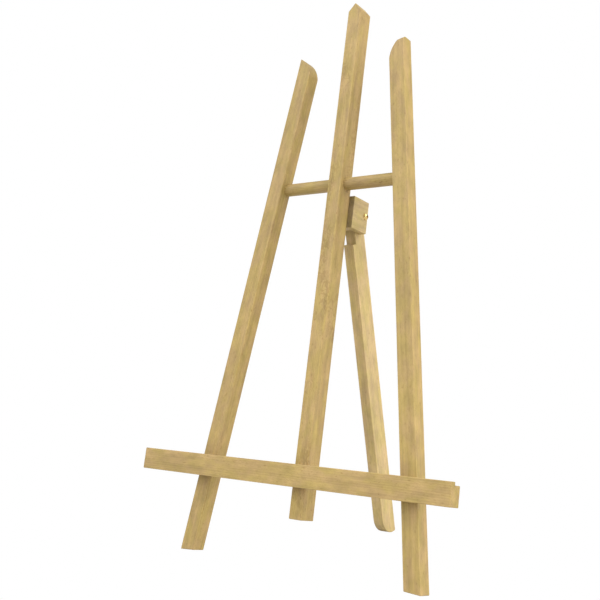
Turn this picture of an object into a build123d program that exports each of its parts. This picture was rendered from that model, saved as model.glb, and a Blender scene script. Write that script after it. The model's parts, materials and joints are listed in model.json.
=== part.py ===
"""Small tripod display easel: two splayed side legs, a pointed centre post, a dowel crossbar,
a lipped ledge, and one rear leg that folds about a brass screw in a forked block.

The front frame is drawn in face coordinates: X across, Y back from the front faces, and Z up the
slope, with Z = 0 at the crossbar's axis. It is then tipped back by lean_angle. The rear leg is
drawn about its pivot. The easel's origin is on the floor, on the centre plane, halfway between
the side feet and the rear foot.
"""
from build123d import *
from math import cos, radians, sin, tan
import os

# Angles, in degrees
lean_angle = 14.5        # front frame, back from the vertical
splay_angle = 8.4        # each side leg, in the plane of the frame
open_angle = 21.7        # between the post and the open rear leg

# Side legs
leg_width = 20.0
leg_depth = 18.0
leg_half_spacing = 90.0  # from the centre plane to a leg's centre line, at the crossbar
leg_rise = 169.0         # crossbar to the tip, up the slope
leg_drop = 445.0         # crossbar to the foot, down the slope
tip_drop = 21.0          # outer corner of the tip down to its inner corner
tip_radius = 32.0
foot_mitre = 12.0        # degrees off square
crown_rise = 4.5         # right tip only: how far its crest stands over the front corner
crown_radius = 16.0
crown_to_back = 6.0      # from the crest to the back face

# Centre post
post_width = 18.0
post_rise = 219.5        # crossbar to the shoulders
post_point = 10.0        # shoulders to the point
post_drop = 391.0

# Crossbar
crossbar_diameter = 15.0
tenon_diameter = 8.0
tenon_length = 12.0
leg_wall = 1.0           # of a side leg, behind its tenon
post_wall = 1.5          # of the post, behind the crossbar

# Ledge
ledge_length = 430.0
ledge_offset = -16.0     # its middle, from the centre plane
ledge_height = 25.0
ledge_depth = 18.0
ledge_top = -331.0       # top of the lip, from the crossbar
lip_thickness = 7.5
lip_height = 3.5

# Hinge block: a web against the post, and two cheeks
block_width = 32.0
block_depth = 31.0
block_height = 39.0
block_top = -12.0
web_thickness = 12.0
pivot_below_top = 18.5
pivot_from_back = 4.8

# Rear leg
rear_width = 14.0
rear_depth = 26.0
rebate_depth = 6.0
rear_top_radius = 8.0
toe_front_radius = 22.0
toe_back_radius = 2.0

# Fasteners
pivot_diameter = 4.0
pivot_end_wall = 4.0     # of the left cheek, past the pivot screw's point
pivot_head_diameter = 8.2
pivot_head_height = 2.6
pan_rim = 0.3            # the pivot head's upright rim, as a share of its height
pan_shoulder = (0.72, 0.82)  # where its curve bulges most, as shares of its radius and height
screw_diameter = 4.0
screw_head_diameter = 8.0
ledge_screw_length = 30.0
block_screw_length = 26.0
block_screw_spacing = 24.0
tip_length = 4.0         # a screw's pointed end
recess_span = 0.6        # a cross recess from end to end, as a share of its head
recess_width = 1.1       # one arm of it
recess_depth = 1.6

# Clearances and eased edges
edge_radius = 0.8
glue_gap = 0.05          # round a glued dowel or tenon
running_gap = 0.06       # between the pivot screw and the rear leg
cheek_gap = 0.4          # each side of the rear leg in the fork
stop_gap = 0.3           # between the rear leg's bevel and the web
web_gap = 1.2            # between the rebate and the web, with the rear leg folded parallel to the post
top_gap = 0.5            # from the rear leg's top up to the block's, folded
rebate_gap = 10.5        # from the block's bottom down to the rebate's shoulder, folded

# Sizes and places that follow, in face coordinates. The crossbar's axis is crossbar_depth behind
# the front faces.
crossbar_depth = leg_depth - leg_wall - tenon_diameter / 2
post_depth = crossbar_depth + crossbar_diameter / 2 + post_wall
web_back = post_depth + web_thickness
block_back = post_depth + block_depth
block_bottom = block_top - block_height
pivot_y = block_back - pivot_from_back
pivot_z = block_top - pivot_below_top
ledge_bottom = ledge_top - ledge_height
ledge_seat = ledge_top - lip_height
ledge_screw_z = (ledge_seat + ledge_bottom) / 2
inner_face_x = leg_half_spacing - leg_width / 2 / cos(radians(splay_angle))
pivot_length = block_width - pivot_end_wall

# The rear leg about its pivot: its front face, its top and its rebate follow the block.
pivot_to_web = pivot_y - web_back
rear_front_to_pivot = pivot_to_web - web_gap + rebate_depth
rear_above_pivot = pivot_below_top - top_gap
rebate_below_pivot = block_height - pivot_below_top + rebate_gap
toe_radius = min(toe_front_radius, rear_depth - toe_back_radius - 2 * edge_radius)

# The easel stands on the outer back corners of the side feet, and on the rear toe.
rear_angle = open_angle - lean_angle
frame_z = leg_drop * cos(radians(lean_angle)) + leg_depth * sin(radians(lean_angle))


def tipped(y, z):
    """A point's Y from the crossbar's front line, and its height over the floor, once tipped back."""
    lean = radians(lean_angle)
    return y * cos(lean) + z * sin(lean), frame_z + z * cos(lean) - y * sin(lean)


# The toe's round touches the floor, which sets the rear leg's length below its pivot.
pivot_back, pivot_height = tipped(pivot_y, pivot_z)
toe_y = toe_radius - rear_front_to_pivot
toe_z = -(pivot_height - toe_radius + toe_y * sin(radians(rear_angle))) / cos(radians(rear_angle))
rear_below_pivot = toe_radius - toe_z
toe_back = pivot_back + toe_y * cos(radians(rear_angle)) - toe_z * sin(radians(rear_angle))
foot_back = tipped(leg_depth, -leg_drop)[0]
frame_y = -(toe_back + foot_back) / 2

FRAME = Location((0, frame_y, frame_z), (-lean_angle, 0, 0))
PIVOT = Location((0, frame_y + pivot_back, pivot_height), (rear_angle, 0, 0))


def board(outline, depth):
    """A board from its closed outline in X and Z, running back from Y = 0."""
    return extrude(Plane.XZ * make_face(outline), -depth)


def eased(piece, radius=edge_radius):
    """The piece with all its edges rounded."""
    return fillet(piece.edges(), radius)


def bar_along_x(diameter, start, end, y, z):
    """A round bar along X from start to end."""
    return Pos(0, y, z) * extrude(Plane.YZ.offset(start) * Circle(diameter / 2), end - start)


def splayed(piece, side):
    """Stand a right leg's piece at its splay; side is 1 for the right leg and -1 for the left."""
    placed = Pos(leg_half_spacing, 0, 0) * Rot(0, -splay_angle, 0) * piece
    return placed if side > 0 else mirror(placed, Plane.YZ)


def leg_blank(side):
    """A side leg before its holes. Only the right leg's tip has a crown from front to back."""
    half = leg_width / 2
    splay = radians(splay_angle)
    crown = crown_rise if side > 0 else 0.0
    tip = (leg_rise - half * sin(splay)) / cos(splay)
    foot = -(leg_drop + half * sin(splay)) / cos(splay)
    inner_foot = foot + leg_width * tan(radians(foot_mitre))
    sides = Polyline((half, tip + crown), (half, foot), (-half, inner_foot), (-half, tip - tip_drop))
    arch = RadiusArc((-half, tip - tip_drop), (half, tip + crown), tip_radius)
    leg = board(sides + arch, leg_depth)
    if crown:
        crest = Pos(0, leg_depth - crown_to_back, tip + crown - crown_radius) * Rot(0, 90, 0)
        over = Pos(0, leg_depth / 2, tip + crown) * Box(2 * leg_width, 2 * leg_depth, 2 * crown_radius)
        leg -= over - crest * Cylinder(crown_radius, 3 * leg_width)
    return splayed(eased(leg), side)


def countersunk_screw(length):
    """A countersunk wood screw along +Y, with the top of its head at the origin."""
    head_depth = (screw_head_diameter - screw_diameter) / 2
    outline = Polyline(
        (0, 0),
        (screw_head_diameter / 2, 0),
        (screw_diameter / 2, head_depth),
        (screw_diameter / 2, length - tip_length),
        (0, length),
        close=True,
    )
    return revolve(make_face(outline), Axis.Y)


def cross_recess(head_diameter):
    """The cross-shaped recess of a screw's head, sunk along +Y from the origin."""
    arm = Box(recess_span * head_diameter, 2 * recess_depth, recess_width)
    return arm + Rot(0, 90, 0) * arm


def screw_places(xs, y, zs):
    """Where screws driven towards -Y stand, with the tops of their heads at Y = y."""
    return [Pos(x, y, z) * Rot(0, 0, 180) for x in xs for z in zs]


def ledge_screw_places():
    """One screw through each side leg, and one through the post, into the ledge's back."""
    spread = leg_half_spacing - ledge_screw_z * tan(radians(splay_angle))
    return screw_places((-spread, spread), leg_depth, (ledge_screw_z,)) + screw_places(
        (0,), post_depth, (ledge_screw_z,)
    )


def block_screw_places():
    """Two screws through the web into the post."""
    middle = block_top - block_height / 2
    return screw_places((0,), web_back, (middle - block_screw_spacing / 2, middle + block_screw_spacing / 2))


def screws(places, length):
    """Countersunk screws at their places, as separate solids."""
    one = countersunk_screw(length) - cross_recess(screw_head_diameter)
    return [place * one for place in places]


def screw_holes(places, length):
    """The holes that those screws fill."""
    return [place * countersunk_screw(length) for place in places]


def pivot_screw():
    """The brass screw that the rear leg turns on: a domed head on the right cheek, its shank along -X."""
    head = pivot_head_diameter / 2
    shank = pivot_diameter / 2
    rim = (head, pan_rim * pivot_head_height)
    shoulder = (pan_shoulder[0] * head, pan_shoulder[1] * pivot_head_height)
    outline = Polyline((shank, 0), (head, 0), rim)
    outline += ThreePointArc(rim, shoulder, (0, pivot_head_height))
    outline += Polyline(
        (0, pivot_head_height), (0, -pivot_length), (shank, tip_length - pivot_length), (shank, 0)
    )
    screw = revolve(make_face(outline), Axis.Y)
    screw -= Pos(0, pivot_head_height, 0) * cross_recess(pivot_head_diameter)
    return Pos(block_width / 2, pivot_y, pivot_z) * Rot(0, 0, -90) * screw


def pivot_bore():
    """The hole for the pivot screw in the two cheeks, as deep as the screw is long."""
    start = block_width / 2 - pivot_length
    shank = bar_along_x(pivot_diameter, start + tip_length, block_width / 2 + 1, pivot_y, pivot_z)
    point = Pos(start + tip_length / 2, pivot_y, pivot_z) * Rot(0, 90, 0)
    return shank + point * Cone(0, pivot_diameter / 2, tip_length)


def crossbar_bar(gap):
    """The crossbar's full round, as thick as its hole when gap is given."""
    diameter = crossbar_diameter + 2 * gap
    return bar_along_x(diameter, -leg_half_spacing, leg_half_spacing, crossbar_depth, 0)


def tenons(gap):
    """The two necked ends of the crossbar, as one bar through it."""
    end = inner_face_x + tenon_length
    return bar_along_x(tenon_diameter + 2 * gap, -end, end, crossbar_depth, 0)


def side_leg(side):
    """A side leg with the crossbar's socket and its ledge screw's hole."""
    leg = leg_blank(side) - tenons(glue_gap)
    for hole in screw_holes(ledge_screw_places(), ledge_screw_length):
        leg -= hole
    return leg


def centre_post():
    """The post: its point, the crossbar's hole and the screws' holes."""
    half = post_width / 2
    outline = Polyline(
        (-half, -post_drop),
        (half, -post_drop),
        (half, post_rise),
        (0, post_rise + post_point),
        (-half, post_rise),
        close=True,
    )
    post = eased(board(outline, post_depth)) - crossbar_bar(glue_gap)
    for hole in screw_holes(ledge_screw_places(), ledge_screw_length):
        post -= hole
    for hole in screw_holes(block_screw_places(), block_screw_length):
        post -= hole
    return post


def crossbar_dowel():
    """The crossbar, cut to the slope of the legs' inner faces, with a tenon at each end."""
    bar = crossbar_bar(0)
    past_face = Box(leg_width, 4 * crossbar_diameter, 4 * crossbar_diameter)
    for side in (-1, 1):
        bar -= splayed(past_face, side)
    return bar + tenons(0)


def ledge_bar():
    """The ledge: a seat along the legs' front faces behind a raised lip."""
    body = Box(ledge_length, ledge_depth, ledge_height, align=(Align.CENTER, Align.MAX, Align.MIN))
    seat = Box(ledge_length, ledge_depth, ledge_height, align=(Align.CENTER, Align.MIN, Align.MIN))
    body -= Pos(0, lip_thickness - ledge_depth, ledge_height - lip_height) * seat
    bar = Pos(ledge_offset, 0, ledge_bottom) * eased(body)
    for hole in screw_holes(ledge_screw_places(), ledge_screw_length):
        bar -= hole
    return bar


def hinge_block():
    """The fork on the post's back: a web, and two cheeks that hold the pivot screw."""
    slot_width = rear_width + 2 * cheek_gap
    place = Pos(0, post_depth, block_bottom)
    low = (Align.CENTER, Align.MIN, Align.MIN)
    block = Box(block_width, block_depth, block_height, align=low)
    block -= Pos(0, web_thickness, 0) * Box(slot_width, block_depth, block_height, align=low)
    block = place * eased(block) - pivot_bore()
    for hole in screw_holes(block_screw_places(), block_screw_length):
        block -= hole
    return block


def rear_leg():
    """The rear leg about its pivot, Z along it: rebated, bevelled to rest on the web, with a round toe."""
    front = -rear_front_to_pivot
    back = front + rear_depth
    rebate = front + rebate_depth
    open_slope = radians(open_angle)
    to_web = pivot_to_web - stop_gap
    bevel_z = (to_web + rebate * cos(open_slope)) / sin(open_slope)
    bevel_y = (rear_above_pivot * sin(open_slope) - to_web) / cos(open_slope)
    profile = Plane.YZ * make_face(Polyline(
        (front, -rear_below_pivot),
        (back, -rear_below_pivot),
        (back, rear_above_pivot),
        (bevel_y, rear_above_pivot),
        (rebate, bevel_z),
        (rebate, -rebate_below_pivot),
        (front, -rebate_below_pivot),
        close=True,
    ))
    leg = extrude(profile, rear_width / 2, both=True)
    corners = leg.edges().filter_by(Axis.X)
    leg = fillet(corners.group_by(Axis.Z)[0].sort_by(Axis.Y)[0], toe_radius)
    corners = leg.edges().filter_by(Axis.X)
    leg = fillet(corners.group_by(Axis.Z)[0].sort_by(Axis.Y)[-1], toe_back_radius)
    corners = leg.edges().filter_by(Axis.X)
    leg = fillet(corners.group_by(Axis.Z)[-1].sort_by(Axis.Y)[-1], rear_top_radius)
    bore = bar_along_x(pivot_diameter + 2 * running_gap, -rear_width, rear_width, 0, 0)
    return eased(leg) - bore


def write(name, pieces, place):
    """Write one node's solids to its own file."""
    solids = [solid for piece in pieces for solid in (place * piece).solids()]
    node = Compound(label=name, children=solids)
    export_step(node, f"parts/{name}.step")


os.makedirs("parts", exist_ok=True)
write("left_leg", [side_leg(-1)], FRAME)
write("right_leg", [side_leg(1)], FRAME)
write("centre_post", [centre_post()], FRAME)
write("crossbar_dowel", [crossbar_dowel()], FRAME)
write("ledge_bar", [ledge_bar()], FRAME)
write("ledge_screws", screws(ledge_screw_places(), ledge_screw_length), FRAME)
write("hinge_block", [hinge_block()], FRAME)
write("hinge_block_screws", screws(block_screw_places(), block_screw_length), FRAME)
write("pivot_screw", [pivot_screw()], FRAME)
write("rear_leg", [rear_leg()], PIVOT)
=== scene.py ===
"""Looks of a small tripod display easel: sanded beech battens, a lipped ledge, a forked hinge block
and a folding rear leg, with a brass pivot screw and plated wood screws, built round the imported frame."""
import sys
import json
import logging
from dataclasses import dataclass, field
from enum import Enum
from math import atan2, ceil, cos, pi, radians, sin, sqrt, tan

import bpy
import numpy as np
from mathutils import Matrix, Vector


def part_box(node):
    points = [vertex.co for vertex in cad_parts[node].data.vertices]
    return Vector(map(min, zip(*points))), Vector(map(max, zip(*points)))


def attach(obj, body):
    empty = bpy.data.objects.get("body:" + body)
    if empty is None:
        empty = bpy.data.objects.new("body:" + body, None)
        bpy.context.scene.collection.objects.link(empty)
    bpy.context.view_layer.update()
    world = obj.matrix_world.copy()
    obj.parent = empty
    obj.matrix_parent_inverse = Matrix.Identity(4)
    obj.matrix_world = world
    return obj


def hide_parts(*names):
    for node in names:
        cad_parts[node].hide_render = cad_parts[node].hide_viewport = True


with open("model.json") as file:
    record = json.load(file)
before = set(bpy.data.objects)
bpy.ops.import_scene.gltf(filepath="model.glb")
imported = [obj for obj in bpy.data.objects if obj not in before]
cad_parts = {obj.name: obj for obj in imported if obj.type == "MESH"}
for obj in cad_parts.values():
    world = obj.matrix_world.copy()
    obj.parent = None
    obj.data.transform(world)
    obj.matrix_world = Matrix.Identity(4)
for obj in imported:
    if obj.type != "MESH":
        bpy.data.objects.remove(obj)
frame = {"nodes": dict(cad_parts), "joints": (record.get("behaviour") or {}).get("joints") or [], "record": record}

LOG = logging.getLogger("easel")
MM = 0.001
Socket = bpy.types.NodeSocket
Vector3 = tuple[float, float, float]
WHITE = (1.0, 1.0, 1.0, 1.0)


# ---------------------------------------------------------------------------------------------
# Placing: each piece is drawn in its own bench coordinates, X across, Y back, Z along the grain
# ---------------------------------------------------------------------------------------------
def turn_x(degrees: float) -> np.ndarray:
    """The 3x3 turn about X by an angle in degrees."""
    c, s = cos(radians(degrees)), sin(radians(degrees))
    return np.array([[1, 0, 0], [0, c, -s], [0, s, c]], float)


def turn_y(degrees: float) -> np.ndarray:
    """The 3x3 turn about Y by an angle in degrees."""
    c, s = cos(radians(degrees)), sin(radians(degrees))
    return np.array([[c, 0, s], [0, 1, 0], [-s, 0, c]], float)


LYING_ALONG_X = np.array([[0, 0, 1], [0, 1, 0], [-1, 0, 0]], float)
"""Turns a batten's grain, bench Z, to lie along X, with bench X pointing down."""


@dataclass(frozen=True)
class Placement:
    """Where a piece stands in the frame: bench coordinates are turned, then shifted.

    Attributes:
        turn: 3x3 turn from bench coordinates to the frame.
        shift: place of the bench origin in the frame, in metres.
    """

    turn: np.ndarray
    shift: np.ndarray

    def place(self, points: np.ndarray) -> np.ndarray:
        """Bench points, one to a row, as points in the frame."""
        return points @ self.turn.T + self.shift

    def inside(self, turn: np.ndarray, shift: tuple[float, float, float]) -> "Placement":
        """A placement given in these bench coordinates, as one in the frame.

        Args:
            turn: 3x3 turn of the inner piece in these coordinates.
            shift: place of the inner piece's origin in these coordinates, in metres.

        Returns:
            The inner piece's placement in the frame.
        """
        return Placement(self.turn @ turn, self.place(np.array([shift], float))[0])

    def to_bench(self) -> tuple[tuple[float, ...], tuple[float, ...]]:
        """The shift and the Euler turn, as a Mapping node takes them, from the frame back to the bench."""
        back = self.turn.T
        euler = Matrix(back.tolist()).to_euler("XYZ")
        return tuple(-back @ self.shift), tuple(euler)


# ---------------------------------------------------------------------------------------------
# Shapes: outlines with eased corners, boards with eased edges, and turned bodies
# ---------------------------------------------------------------------------------------------
@dataclass(frozen=True)
class Outline:
    """A closed outline, counter-clockwise: its points and, at each, the unit normal pointing out."""

    points: np.ndarray
    normals: np.ndarray


@dataclass(frozen=True)
class Corner:
    """A corner of an outline, in metres, and the radius that it is rounded to."""

    across: float
    along: float
    radius: float = 0.0


def corner_round(before: np.ndarray, corner: Corner, after: np.ndarray, step: float) -> np.ndarray:
    """The points and normals of one rounded corner.

    The corner is replaced by the circle of its radius that touches both sides. A point on it is
    the circle's centre plus, on an outside corner, or minus, on an inside one, the radius times
    a normal that turns evenly from the first side's to the second's.

    Args:
        before: the outline's previous corner.
        corner: this corner.
        after: the outline's next corner.
        step: the largest turn between two points, in radians.

    Returns:
        An array with a row (x, y, normal x, normal y) for each point.
    """
    here = np.array([corner.across, corner.along])
    come = (here - before) / np.linalg.norm(here - before)
    go = (after - here) / np.linalg.norm(after - here)
    bend = atan2(come[0] * go[1] - come[1] * go[0], come @ go)
    first = atan2(-come[0], come[1])
    if corner.radius <= 0:
        angle = first + bend / 2
        normal = np.array([cos(angle), sin(angle)])
        return np.concatenate([here, normal])[None]
    side = np.sign(bend)
    start_normal = np.array([cos(first), sin(first)])
    trim = corner.radius * tan(abs(bend) / 2)
    centre = here - come * trim - side * corner.radius * start_normal
    count = max(2, ceil(abs(bend) / step)) + 1
    angles = first + bend * np.linspace(0, 1, count)
    normals = np.stack([np.cos(angles), np.sin(angles)], 1)
    return np.hstack([centre + side * corner.radius * normals, normals])


def rounded_outline(corners: list[Corner], spacing: float, step: float = radians(18)) -> Outline:
    """An outline with its corners rounded and its long sides divided.

    Args:
        corners: the corners, counter-clockwise.
        spacing: the longest stretch left between two points, in metres.
        step: the largest turn between two points of a rounded corner, in radians.

    Returns:
        The outline.
    """
    places = np.array([[c.across, c.along] for c in corners])
    rows = np.concatenate([
        corner_round(places[i - 1], corner, places[(i + 1) % len(corners)], step)
        for i, corner in enumerate(corners)
    ])
    gaps = np.linalg.norm(np.roll(rows, -1, 0)[:, :2] - rows[:, :2], axis=1)
    counts = np.maximum(1, np.ceil(gaps / spacing)).astype(int)
    start = np.repeat(np.arange(len(rows)), counts)
    share = (np.arange(counts.sum()) - np.repeat(np.cumsum(counts) - counts, counts)) / counts[start]
    between = rows[start] * (1 - share[:, None]) + np.roll(rows, -1, 0)[start] * share[:, None]
    normals = between[:, 2:] / np.linalg.norm(between[:, 2:], axis=1, keepdims=True)
    return Outline(between[:, :2], normals)


def arch(start: tuple[float, float], end: tuple[float, float], radius: float, count: int) -> list[Corner]:
    """Points inside an arc of a given radius between two ends, bulging to the left of the way along it.

    The centre lies on the ends' bisector, as far from them as the radius says, and the points
    stand at even angles about it.

    Args:
        start: the arc's first end, in metres.
        end: its last end.
        radius: its radius.
        count: the number of points between the ends.

    Returns:
        The points, as corners with no radius.
    """
    a, b = np.array(start), np.array(end)
    chord = b - a
    length = np.linalg.norm(chord)
    right = np.array([chord[1], -chord[0]]) / length
    centre = (a + b) / 2 + right * sqrt(radius**2 - (length / 2) ** 2)
    first = atan2(*(a - centre)[::-1])
    last = atan2(*(b - centre)[::-1])
    angles = np.linspace(first, last, count + 2)[1:-1]
    return [Corner(centre[0] + radius * cos(t), centre[1] + radius * sin(t)) for t in angles]


@dataclass
class Shell:
    """A mesh as arrays: its points, its quads, and its larger flat faces as lists of point numbers."""

    points: np.ndarray
    quads: np.ndarray
    flats: list[list[int]] = field(default_factory=list)

    def turned_out(self, inside_out: bool) -> "Shell":
        """The shell with every face turned over if it is inside out."""
        if not inside_out:
            return self
        return Shell(self.points, self.quads[:, ::-1], [face[::-1] for face in self.flats])


class Plane(Enum):
    """The bench plane that an outline lies in; a board runs along the third direction."""

    FRONT = ((1, 0, 0), (0, 0, 1), (0, 1, 0))
    SIDE = ((0, 1, 0), (0, 0, 1), (1, 0, 0))
    END = ((1, 0, 0), (0, 1, 0), (0, 0, 1))

    def axes(self) -> np.ndarray:
        """The outline's two directions and the board's, one to a row."""
        return np.array(self.value, float)


def hand_eased(outline: Outline, easing: float, seed: float) -> np.ndarray:
    """How far each point of an outline is eased, by hand and so not quite evenly.

    The radius is the easing times one plus a fifth of the mean of three sine waves along the
    outline, whose lengths share no common measure.

    Args:
        outline: the outline.
        easing: the mean radius, in metres.
        seed: shifts the waves, so that no two pieces match.

    Returns:
        One radius for each point.
    """
    gaps = np.linalg.norm(np.roll(outline.points, -1, 0) - outline.points, axis=1)
    run = np.cumsum(gaps) - gaps
    whole = gaps.sum()
    waves = [np.sin(2 * pi * (run / whole * turns + seed * turns)) for turns in (3, 7, 13)]
    return easing * (1 + 0.2 * np.mean(waves, axis=0))


def ring_faces(rings: int, around: int) -> tuple[np.ndarray, list[list[int]]]:
    """The faces of a body made of rings of points, which are numbered ring by ring.

    Args:
        rings: the number of rings.
        around: the number of points in each.

    Returns:
        The quads between each ring and the next, and the flat faces that close the two ends.
    """
    first = np.arange(around)
    after = (first + 1) % around
    row = (np.arange(rings - 1) * around)[:, None]
    quads = np.stack([row + first, row + after, row + around + after, row + around + first], 2)
    top = (rings - 1) * around
    return quads.reshape(-1, 4), [first[::-1].tolist(), (top + first).tolist()]


def eased_board(
    outline: Outline, thickness: tuple[float, float], easing: float, plane: Plane, seed: float, rows: int = 4
) -> Shell:
    """A board of any outline, with both its faces' edges rounded over.

    A ring of points stands at each step of a quarter circle from the face to the wall. At an
    angle t from the wall, the outline is drawn in along its normals by the radius times one
    minus cosine t, and it stands below the face by the radius times one minus sine t. Even rings
    cross the wall between the two quarter circles, and a flat face closes each end.

    Args:
        outline: the board's outline in its plane.
        thickness: the board's start and end along the third direction, in metres.
        easing: the mean radius of the rounded edges.
        plane: the plane that the outline lies in.
        seed: varies the easing from piece to piece.
        rows: the number of rings across the wall.

    Returns:
        The closed shell in bench coordinates.
    """
    low, high = thickness
    radius = hand_eased(outline, easing, seed)[None]
    quarter = np.linspace(pi / 2, 0, 5)[:, None]
    inset = radius * (1 - np.cos(quarter))
    sunk = radius * (1 - np.sin(quarter))
    across = np.linspace(0, 1, rows + 2)[1:-1, None]
    wall = low + radius + across * (high - low - 2 * radius)
    heights = np.vstack([low + sunk, wall, high - sunk[::-1]])
    insets = np.vstack([inset, np.zeros_like(wall), inset[::-1]])
    flat = outline.points[None] - insets[:, :, None] * outline.normals[None]
    drawn = np.concatenate([flat, heights[:, :, None]], axis=2)
    axes = plane.axes()
    shell = Shell(drawn.reshape(-1, 3) @ axes, *ring_faces(len(heights), len(outline.points)))
    return shell.turned_out(np.linalg.det(axes) < 0)


def turned(profile: np.ndarray, around: int = 48) -> Shell:
    """A body turned about bench Z from a profile of (radius, height) rows, low end first.

    A point at angle t stands at radius times cosine t, radius times sine t, and its height. The
    profile's two end rings are closed by flat faces.

    Args:
        profile: the rows (radius, height), in metres; the ends have a small radius, not none.
        around: the number of points round the body.

    Returns:
        The closed shell in bench coordinates.
    """
    angles = np.arange(around) * 2 * pi / around
    ring = np.stack([np.cos(angles), np.sin(angles)], 1)
    flat = profile[:, 0, None, None] * ring[None]
    heights = np.broadcast_to(profile[:, 1, None, None], (len(profile), around, 1))
    points = np.concatenate([flat, heights], 2).reshape(-1, 3)
    return Shell(points, *ring_faces(len(profile), around))


def mesh_object(name: str, shell: Shell, placement: Placement) -> bpy.types.Object:
    """A shell as a Blender object at the frame's origin, with its place in its mesh.

    Args:
        name: the piece's name.
        shell: its surface in bench coordinates.
        placement: where it stands.

    Returns:
        The linked object.
    """
    mesh = bpy.data.meshes.new(name)
    mesh.from_pydata(placement.place(shell.points).tolist(), [], shell.quads.tolist() + shell.flats)
    mesh.validate()
    obj = bpy.data.objects.new(name, mesh)
    bpy.context.scene.collection.objects.link(obj)
    return obj


def drill(obj: bpy.types.Object, cutters: list[tuple[Shell, Placement]]) -> None:
    """Cut holes in a piece.

    Args:
        obj: the piece, a closed mesh.
        cutters: each hole's closed shell and its placement.
    """
    tools = [mesh_object("drill", shell, place) for shell, place in cutters]
    for tool in tools:
        cut = obj.modifiers.new("drill", "BOOLEAN")
        cut.operation = "DIFFERENCE"
        cut.solver = "EXACT"
        cut.object = tool
    evaluated = obj.evaluated_get(bpy.context.evaluated_depsgraph_get())
    bored = bpy.data.meshes.new_from_object(evaluated)
    obj.modifiers.clear()
    obj.data = bored
    for tool in tools:
        mesh = tool.data
        bpy.data.objects.remove(tool)
        bpy.data.meshes.remove(mesh)


def smooth(obj: bpy.types.Object, crease: float = 32.0) -> None:
    """Shade a piece smoothly up to a crease, in degrees, with its flat faces kept flat."""
    obj.data.shade_smooth()
    obj.data.set_sharp_from_angle(angle=radians(crease))
    weighted = obj.modifiers.new("flat faces stay flat", "WEIGHTED_NORMAL")
    weighted.keep_sharp = True


# ---------------------------------------------------------------------------------------------
# Shader building
# ---------------------------------------------------------------------------------------------
class Graph:
    """Adds nodes to one shader tree and joins them."""

    def __init__(self, tree: bpy.types.NodeTree) -> None:
        """Start from a tree, which may already hold nodes."""
        self.tree = tree

    def add(self, kind: str, inputs: dict | None = None, **settings: object) -> bpy.types.Node:
        """Add a node.

        Args:
            kind: the node's type name, without its ShaderNode prefix.
            inputs: for each input's name or number, a socket to join or a value to set.
            settings: the node's own properties.

        Returns:
            The node.
        """
        node = self.tree.nodes.new("ShaderNode" + kind)
        for name, value in settings.items():
            setattr(node, name, value)
        for key, value in (inputs or {}).items():
            self.feed(node.inputs[key], value)
        return node

    def feed(self, socket: Socket, value: object) -> None:
        """Join another socket to an input, or set the input's value."""
        if isinstance(value, Socket):
            self.tree.links.new(value, socket)
        else:
            socket.default_value = value

    def math(self, operation: str, *values: object) -> Socket:
        """The result of a Math node on sockets or numbers."""
        return self.add("Math", dict(enumerate(values)), operation=operation).outputs[0]

    def vector_math(self, operation: str, *values: object) -> Socket:
        """The first result of a Vector Math node on sockets or vectors."""
        return self.add("VectorMath", dict(enumerate(values)), operation=operation).outputs[0]

    def ramp(
        self, value: Socket, low: float, high: float, to_low: float = 0.0, to_high: float = 1.0
    ) -> Socket:
        """A smooth step of a value from one range to another, held at both ends."""
        inputs = {"Value": value, "From Min": low, "From Max": high, "To Min": to_low, "To Max": to_high}
        return self.add("MapRange", inputs, interpolation_type="SMOOTHSTEP").outputs[0]

    def noise(
        self, vector: Socket, scale: Vector3,
        detail: float = 2.0, roughness: float = 0.5, distortion: float = 0.0,
    ) -> Socket:
        """Noise from 0 to 1, stretched by a scale for each axis, in cells to the metre."""
        return self.add("TexNoise", {
            "Vector": self.vector_math("MULTIPLY", vector, scale), "Scale": 1.0, "Detail": detail,
            "Roughness": roughness, "Distortion": distortion,
        }).outputs["Fac"]

    def mix(self, factor: object, low: object, high: object, blend: str = "MIX") -> Socket:
        """A mix of two colours, given as sockets or as linear red, green and blue."""
        node = self.add("Mix", data_type="RGBA", blend_type=blend)
        for key, kind, value in (("Factor", "VALUE", factor), ("A", "RGBA", low), ("B", "RGBA", high)):
            socket = next(s for s in node.inputs if s.name == key and s.type == kind)
            self.feed(socket, (*value, 1) if isinstance(value, tuple) else value)
        return next(s for s in node.outputs if s.type == "RGBA")

    def axes(self, vector: Socket) -> tuple[Socket, Socket, Socket]:
        """A vector's three parts."""
        return tuple(self.add("SeparateXYZ", {0: vector}).outputs)

    def joined(self, x: object, y: object, z: object) -> Socket:
        """A vector from its three parts."""
        return self.add("CombineXYZ", {0: x, 1: y, 2: z}).outputs[0]

    def length(self, vector: Socket) -> Socket:
        """A vector's length."""
        return self.add("VectorMath", {0: vector}, operation="LENGTH").outputs["Value"]

    def bench(self, placement: Placement) -> tuple[Socket, Socket]:
        """The point and the normal being shaded, in a piece's bench coordinates."""
        source = self.add("TexCoord").outputs
        shift, turn = placement.to_bench()
        point = self.add("Mapping", {"Vector": source["Object"], "Location": shift, "Rotation": turn})
        normal = self.add("Mapping", {"Vector": source["Normal"], "Rotation": turn}, vector_type="NORMAL")
        return point.outputs[0], normal.outputs[0]

    def seen_as(self, seen: Socket, lit: Socket) -> Socket:
        """A shader that looks like one shader to the camera and acts like another in the scene's light."""
        camera = self.add("LightPath").outputs["Is Camera Ray"]
        return self.add("MixShader", {0: camera, 1: lit, 2: seen}).outputs[0]

    def show(self, shader: Socket, kind: str = "Material") -> None:
        """Send a shader to the surface of a material or the world."""
        self.add("Output" + kind, {"Surface": shader})

    @classmethod
    def fresh(cls, owner: bpy.types.Material | bpy.types.World) -> "Graph":
        """An empty graph in a material or the world."""
        owner.use_nodes = True
        owner.node_tree.nodes.clear()
        return cls(owner.node_tree)


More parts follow.
